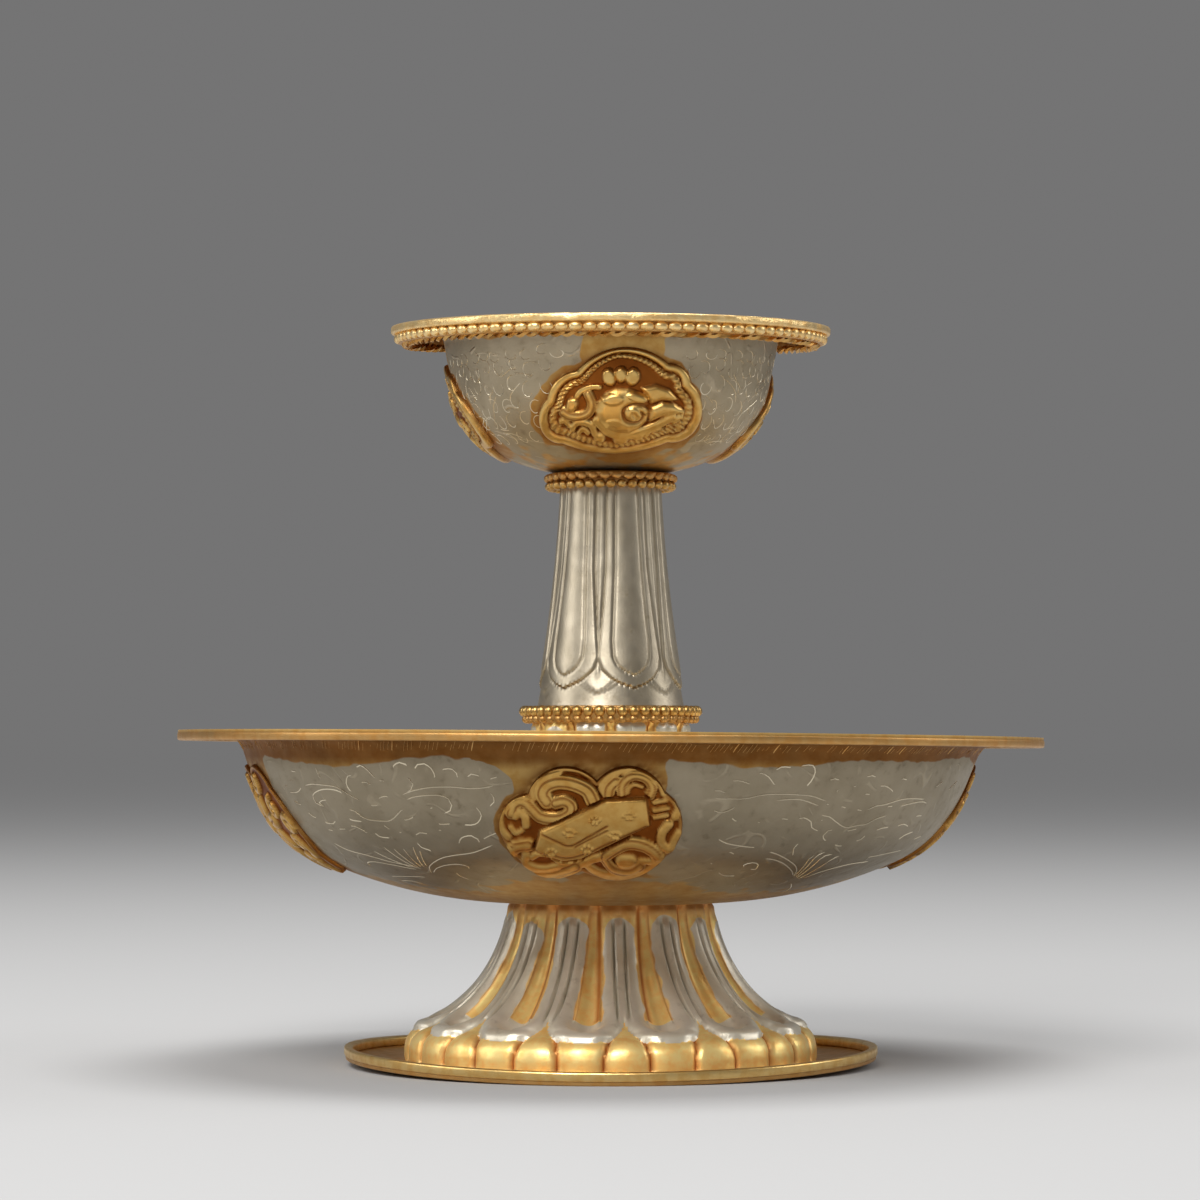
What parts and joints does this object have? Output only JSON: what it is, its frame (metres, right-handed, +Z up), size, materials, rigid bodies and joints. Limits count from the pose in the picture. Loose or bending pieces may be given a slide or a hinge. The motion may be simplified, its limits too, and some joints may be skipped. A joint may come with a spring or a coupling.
{
  "type": "offering bowl with goblet",
  "caption": "Wide flanged metal bowl on a fluted lotus foot, with a small beaded goblet standing loose inside it.",
  "frame": {"origin": "centre of the foot plate's underside", "axes": "+Z up along the axis of the bowl, -Y towards the front medallions, +X to the viewer's right"},
  "size_m": [0.12, 0.12, 0.1029],
  "materials": {
    "silver": "silver over copper, hand raised, chased and planished, satin",
    "gilt": "fire gilt over copper, burnished on high places, red-brown in hollows"
  },
  "bodies": {
    "bowl_on_foot": {"foot_plate": "gilt", "foot_edge_wire": "gilt", "lotus_foot": "silver", "bowl": "silver", "bowl_edge_wire": "gilt", "bowl_medallion_front": "gilt", "bowl_medallion_left": "gilt", "bowl_medallion_right": "gilt", "bowl_medallion_back": "gilt"},
    "goblet": {"goblet_foot_plate": "gilt", "goblet_foot_edge_wire": "gilt", "goblet_foot": "silver", "stem_ring": "gilt", "stem_ring_beading": "gilt", "stem": "silver", "stem_collar": "gilt", "stem_collar_beading": "gilt", "cup": "silver", "cup_rim_beading": "gilt", "cup_rim_twist": "gilt", "cup_medallion_front": "gilt", "cup_medallion_left": "gilt", "cup_medallion_right": "gilt", "cup_medallion_back": "gilt"}
  },
  "joints": [
    {"name": "goblet_lift", "type": "slide", "parent": "bowl_on_foot", "child": "goblet", "axis": [0, 0, 1], "range_m": [0, 0.06]}
  ]
}
